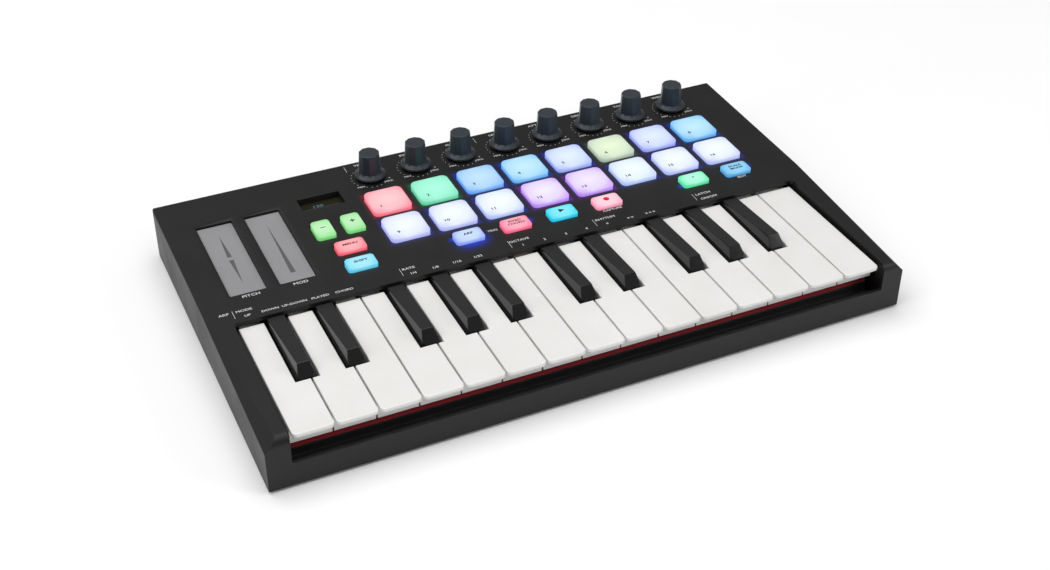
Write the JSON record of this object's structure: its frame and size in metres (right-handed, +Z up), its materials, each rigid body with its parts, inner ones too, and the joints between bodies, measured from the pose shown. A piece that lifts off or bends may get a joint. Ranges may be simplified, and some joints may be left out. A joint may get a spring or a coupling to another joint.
{
  "type": "midi keyboard",
  "caption": "Desktop keyboard controller: mini piano keys in a flat black case with backlit pads, knobs, buttons, touch strips and a small display.",
  "frame": {"origin": "on the table, under the middle of the case", "axes": "+X to the player's right along the keys, +Y away from the player, +Z up"},
  "size_m": [0.342, 0.205, 0.0461],
  "materials": {
    "case_plastic": "fine-grained matte black, faint satin where it catches the light",
    "frame_plastic": "plain matte black moulding",
    "key_white": "satin ivory-white",
    "key_black": "satin top with polished front and sides",
    "knob_rubber": "soft-touch blue-black",
    "strip_plastic": "satin grey film",
    "screen_glass": "dark polished window",
    "pad_silicone": "translucent, lit from behind",
    "button_silicone": "translucent, lit from behind",
    "red_felt": "short dense felt",
    "foot_rubber": "matte black",
    "circuit_board": "green solder mask",
    "dome_silicone": "pale grey silicone",
    "socket_steel": "plated steel shell",
    "jack_plastic": "black nylon",
    "panel_print": "pale grey pad-printed marks",
    "screw_steel": "black zinc"
  },
  "bodies": {
    "case": {"top_case": "case_plastic", "bottom_case": "case_plastic", "key_bed": "frame_plastic", "key_felt": "red_felt", "key_contact_board": "circuit_board", "contact_rubber": "dome_silicone", "control_board": "circuit_board", "pitch_strip": "strip_plastic", "mod_strip": "strip_plastic", "display_module": "screen_glass", "usb_socket": "socket_steel", "pedal_jack": "jack_plastic", "foot_front_left": "foot_rubber", "foot_front_right": "foot_rubber", "foot_back_left": "foot_rubber", "foot_back_right": "foot_rubber"},
    "white_key_01": {"white_key_01": "key_white"},
    "white_key_02": {"white_key_02": "key_white"},
    "white_key_03": {"white_key_03": "key_white"},
    "white_key_04": {"white_key_04": "key_white"},
    "white_key_05": {"white_key_05": "key_white"},
    "white_key_06": {"white_key_06": "key_white"},
    "white_key_07": {"white_key_07": "key_white"},
    "white_key_08": {"white_key_08": "key_white"},
    "white_key_09": {"white_key_09": "key_white"},
    "white_key_10": {"white_key_10": "key_white"},
    "white_key_11": {"white_key_11": "key_white"},
    "white_key_12": {"white_key_12": "key_white"},
    "white_key_13": {"white_key_13": "key_white"},
    "white_key_14": {"white_key_14": "key_white"},
    "white_key_15": {"white_key_15": "key_white"},
    "black_key_01": {"black_key_01": "key_black"},
    "black_key_02": {"black_key_02": "key_black"},
    "black_key_03": {"black_key_03": "key_black"},
    "black_key_04": {"black_key_04": "key_black"},
    "black_key_05": {"black_key_05": "key_black"},
    "black_key_06": {"black_key_06": "key_black"},
    "black_key_07": {"black_key_07": "key_black"},
    "black_key_08": {"black_key_08": "key_black"},
    "black_key_09": {"black_key_09": "key_black"},
    "black_key_10": {"black_key_10": "key_black"},
    "knob_1": {"knob_1": "knob_rubber"},
    "knob_2": {"knob_2": "knob_rubber"},
    "knob_3": {"knob_3": "knob_rubber"},
    "knob_4": {"knob_4": "knob_rubber"},
    "knob_5": {"knob_5": "knob_rubber"},
    "knob_6": {"knob_6": "knob_rubber"},
    "knob_7": {"knob_7": "knob_rubber"},
    "knob_8": {"knob_8": "knob_rubber"},
    "button_minus": {"button_minus": "button_silicone"},
    "button_plus": {"button_plus": "button_silicone"},
    "button_menu": {"button_menu": "button_silicone"},
    "button_shift": {"button_shift": "button_silicone"},
    "button_arp": {"button_arp": "button_silicone"},
    "button_chord": {"button_chord": "button_silicone"},
    "button_play": {"button_play": "button_silicone"},
    "button_record": {"button_record": "button_silicone"},
    "button_next": {"button_next": "button_silicone"},
    "button_sound": {"button_sound": "button_silicone"},
    "pad_mat": {"pad_mat": "pad_silicone"}
  },
  "joints": [
    {"name": "white_key_01_press", "type": "hinge", "parent": "case", "child": "white_key_01", "pos_m": [0, -0.005, 0.0185], "axis": [1, 0, 0], "range_deg": [0, 2.2], "stiffness_Nm_per_rad": 0.1, "springref_deg": -17.19},
    {"name": "white_key_02_press", "type": "hinge", "parent": "case", "child": "white_key_02", "pos_m": [0, -0.005, 0.0185], "axis": [1, 0, 0], "range_deg": [0, 2.2], "stiffness_Nm_per_rad": 0.1, "springref_deg": -17.19},
    {"name": "white_key_03_press", "type": "hinge", "parent": "case", "child": "white_key_03", "pos_m": [0, -0.005, 0.0185], "axis": [1, 0, 0], "range_deg": [0, 2.2], "stiffness_Nm_per_rad": 0.1, "springref_deg": -17.19},
    {"name": "white_key_04_press", "type": "hinge", "parent": "case", "child": "white_key_04", "pos_m": [0, -0.005, 0.0185], "axis": [1, 0, 0], "range_deg": [0, 2.2], "stiffness_Nm_per_rad": 0.1, "springref_deg": -17.19},
    {"name": "white_key_05_press", "type": "hinge", "parent": "case", "child": "white_key_05", "pos_m": [0, -0.005, 0.0185], "axis": [1, 0, 0], "range_deg": [0, 2.2], "stiffness_Nm_per_rad": 0.1, "springref_deg": -17.19},
    {"name": "white_key_06_press", "type": "hinge", "parent": "case", "child": "white_key_06", "pos_m": [0, -0.005, 0.0185], "axis": [1, 0, 0], "range_deg": [0, 2.2], "stiffness_Nm_per_rad": 0.1, "springref_deg": -17.19},
    {"name": "white_key_07_press", "type": "hinge", "parent": "case", "child": "white_key_07", "pos_m": [0, -0.005, 0.0185], "axis": [1, 0, 0], "range_deg": [0, 2.2], "stiffness_Nm_per_rad": 0.1, "springref_deg": -17.19},
    {"name": "white_key_08_press", "type": "hinge", "parent": "case", "child": "white_key_08", "pos_m": [0, -0.005, 0.0185], "axis": [1, 0, 0], "range_deg": [0, 2.2], "stiffness_Nm_per_rad": 0.1, "springref_deg": -17.19},
    {"name": "white_key_09_press", "type": "hinge", "parent": "case", "child": "white_key_09", "pos_m": [0, -0.005, 0.0185], "axis": [1, 0, 0], "range_deg": [0, 2.2], "stiffness_Nm_per_rad": 0.1, "springref_deg": -17.19},
    {"name": "white_key_10_press", "type": "hinge", "parent": "case", "child": "white_key_10", "pos_m": [0, -0.005, 0.0185], "axis": [1, 0, 0], "range_deg": [0, 2.2], "stiffness_Nm_per_rad": 0.1, "springref_deg": -17.19},
    {"name": "white_key_11_press", "type": "hinge", "parent": "case", "child": "white_key_11", "pos_m": [0, -0.005, 0.0185], "axis": [1, 0, 0], "range_deg": [0, 2.2], "stiffness_Nm_per_rad": 0.1, "springref_deg": -17.19},
    {"name": "white_key_12_press", "type": "hinge", "parent": "case", "child": "white_key_12", "pos_m": [0, -0.005, 0.0185], "axis": [1, 0, 0], "range_deg": [0, 2.2], "stiffness_Nm_per_rad": 0.1, "springref_deg": -17.19},
    {"name": "white_key_13_press", "type": "hinge", "parent": "case", "child": "white_key_13", "pos_m": [0, -0.005, 0.0185], "axis": [1, 0, 0], "range_deg": [0, 2.2], "stiffness_Nm_per_rad": 0.1, "springref_deg": -17.19},
    {"name": "white_key_14_press", "type": "hinge", "parent": "case", "child": "white_key_14", "pos_m": [0, -0.005, 0.0185], "axis": [1, 0, 0], "range_deg": [0, 2.2], "stiffness_Nm_per_rad": 0.1, "springref_deg": -17.19},
    {"name": "white_key_15_press", "type": "hinge", "parent": "case", "child": "white_key_15", "pos_m": [0, -0.005, 0.0185], "axis": [1, 0, 0], "range_deg": [0, 2.2], "stiffness_Nm_per_rad": 0.1, "springref_deg": -17.19},
    {"name": "black_key_01_press", "type": "hinge", "parent": "case", "child": "black_key_01", "pos_m": [0, -0.005, 0.0185], "axis": [1, 0, 0], "range_deg": [0, 2.2], "stiffness_Nm_per_rad": 0.1, "springref_deg": -17.19},
    {"name": "black_key_02_press", "type": "hinge", "parent": "case", "child": "black_key_02", "pos_m": [0, -0.005, 0.0185], "axis": [1, 0, 0], "range_deg": [0, 2.2], "stiffness_Nm_per_rad": 0.1, "springref_deg": -17.19},
    {"name": "black_key_03_press", "type": "hinge", "parent": "case", "child": "black_key_03", "pos_m": [0, -0.005, 0.0185], "axis": [1, 0, 0], "range_deg": [0, 2.2], "stiffness_Nm_per_rad": 0.1, "springref_deg": -17.19},
    {"name": "black_key_04_press", "type": "hinge", "parent": "case", "child": "black_key_04", "pos_m": [0, -0.005, 0.0185], "axis": [1, 0, 0], "range_deg": [0, 2.2], "stiffness_Nm_per_rad": 0.1, "springref_deg": -17.19},
    {"name": "black_key_05_press", "type": "hinge", "parent": "case", "child": "black_key_05", "pos_m": [0, -0.005, 0.0185], "axis": [1, 0, 0], "range_deg": [0, 2.2], "stiffness_Nm_per_rad": 0.1, "springref_deg": -17.19},
    {"name": "black_key_06_press", "type": "hinge", "parent": "case", "child": "black_key_06", "pos_m": [0, -0.005, 0.0185], "axis": [1, 0, 0], "range_deg": [0, 2.2], "stiffness_Nm_per_rad": 0.1, "springref_deg": -17.19},
    {"name": "black_key_07_press", "type": "hinge", "parent": "case", "child": "black_key_07", "pos_m": [0, -0.005, 0.0185], "axis": [1, 0, 0], "range_deg": [0, 2.2], "stiffness_Nm_per_rad": 0.1, "springref_deg": -17.19},
    {"name": "black_key_08_press", "type": "hinge", "parent": "case", "child": "black_key_08", "pos_m": [0, -0.005, 0.0185], "axis": [1, 0, 0], "range_deg": [0, 2.2], "stiffness_Nm_per_rad": 0.1, "springref_deg": -17.19},
    {"name": "black_key_09_press", "type": "hinge", "parent": "case", "child": "black_key_09", "pos_m": [0, -0.005, 0.0185], "axis": [1, 0, 0], "range_deg": [0, 2.2], "stiffness_Nm_per_rad": 0.1, "springref_deg": -17.19},
    {"name": "black_key_10_press", "type": "hinge", "parent": "case", "child": "black_key_10", "pos_m": [0, -0.005, 0.0185], "axis": [1, 0, 0], "range_deg": [0, 2.2], "stiffness_Nm_per_rad": 0.1, "springref_deg": -17.19},
    {"name": "knob_1_turn", "type": "hinge", "parent": "case", "child": "knob_1", "pos_m": [-0.0537, 0.0843, 0.031], "axis": [0, 0, 1], "range_deg": [-140, 140]},
    {"name": "knob_2_turn", "type": "hinge", "parent": "case", "child": "knob_2", "pos_m": [-0.0267, 0.0843, 0.031], "axis": [0, 0, 1], "range_deg": [-140, 140]},
    {"name": "knob_3_turn", "type": "hinge", "parent": "case", "child": "knob_3", "pos_m": [0.0003, 0.0843, 0.031], "axis": [0, 0, 1], "range_deg": [-140, 140]},
    {"name": "knob_4_turn", "type": "hinge", "parent": "case", "child": "knob_4", "pos_m": [0.0273, 0.0843, 0.031], "axis": [0, 0, 1], "range_deg": [-140, 140]},
    {"name": "knob_5_turn", "type": "hinge", "parent": "case", "child": "knob_5", "pos_m": [0.0543, 0.0843, 0.031], "axis": [0, 0, 1], "range_deg": [-140, 140]},
    {"name": "knob_6_turn", "type": "hinge", "parent": "case", "child": "knob_6", "pos_m": [0.0813, 0.0843, 0.031], "axis": [0, 0, 1], "range_deg": [-140, 140]},
    {"name": "knob_7_turn", "type": "hinge", "parent": "case", "child": "knob_7", "pos_m": [0.1083, 0.0843, 0.031], "axis": [0, 0, 1], "range_deg": [-140, 140]},
    {"name": "knob_8_turn", "type": "hinge", "parent": "case", "child": "knob_8", "pos_m": [0.1353, 0.0843, 0.031], "axis": [0, 0, 1], "range_deg": [-140, 140]},
    {"name": "button_minus_press", "type": "slide", "parent": "case", "child": "button_minus", "axis": [0, 0, -1], "range_m": [0, 0.0008], "stiffness_N_per_m": 900, "springref_m": -0.0006},
    {"name": "button_plus_press", "type": "slide", "parent": "case", "child": "button_plus", "axis": [0, 0, -1], "range_m": [0, 0.0008], "stiffness_N_per_m": 900, "springref_m": -0.0006},
    {"name": "button_menu_press", "type": "slide", "parent": "case", "child": "button_menu", "axis": [0, 0, -1], "range_m": [0, 0.0008], "stiffness_N_per_m": 900, "springref_m": -0.0006},
    {"name": "button_shift_press", "type": "slide", "parent": "case", "child": "button_shift", "axis": [0, 0, -1], "range_m": [0, 0.0008], "stiffness_N_per_m": 900, "springref_m": -0.0006},
    {"name": "button_arp_press", "type": "slide", "parent": "case", "child": "button_arp", "axis": [0, 0, -1], "range_m": [0, 0.0008], "stiffness_N_per_m": 900, "springref_m": -0.0006},
    {"name": "button_chord_press", "type": "slide", "parent": "case", "child": "button_chord", "axis": [0, 0, -1], "range_m": [0, 0.0008], "stiffness_N_per_m": 900, "springref_m": -0.0006},
    {"name": "button_play_press", "type": "slide", "parent": "case", "child": "button_play", "axis": [0, 0, -1], "range_m": [0, 0.0008], "stiffness_N_per_m": 900, "springref_m": -0.0006},
    {"name": "button_record_press", "type": "slide", "parent": "case", "child": "button_record", "axis": [0, 0, -1], "range_m": [0, 0.0008], "stiffness_N_per_m": 900, "springref_m": -0.0006},
    {"name": "button_next_press", "type": "slide", "parent": "case", "child": "button_next", "axis": [0, 0, -1], "range_m": [0, 0.0008], "stiffness_N_per_m": 900, "springref_m": -0.0006},
    {"name": "button_sound_press", "type": "slide", "parent": "case", "child": "button_sound", "axis": [0, 0, -1], "range_m": [0, 0.0008], "stiffness_N_per_m": 900, "springref_m": -0.0006},
    {"name": "pad_mat_press", "type": "slide", "parent": "case", "child": "pad_mat", "axis": [0, 0, -1], "range_m": [0, 0.0006], "stiffness_N_per_m": 6000, "springref_m": -0.0006}
  ]
}
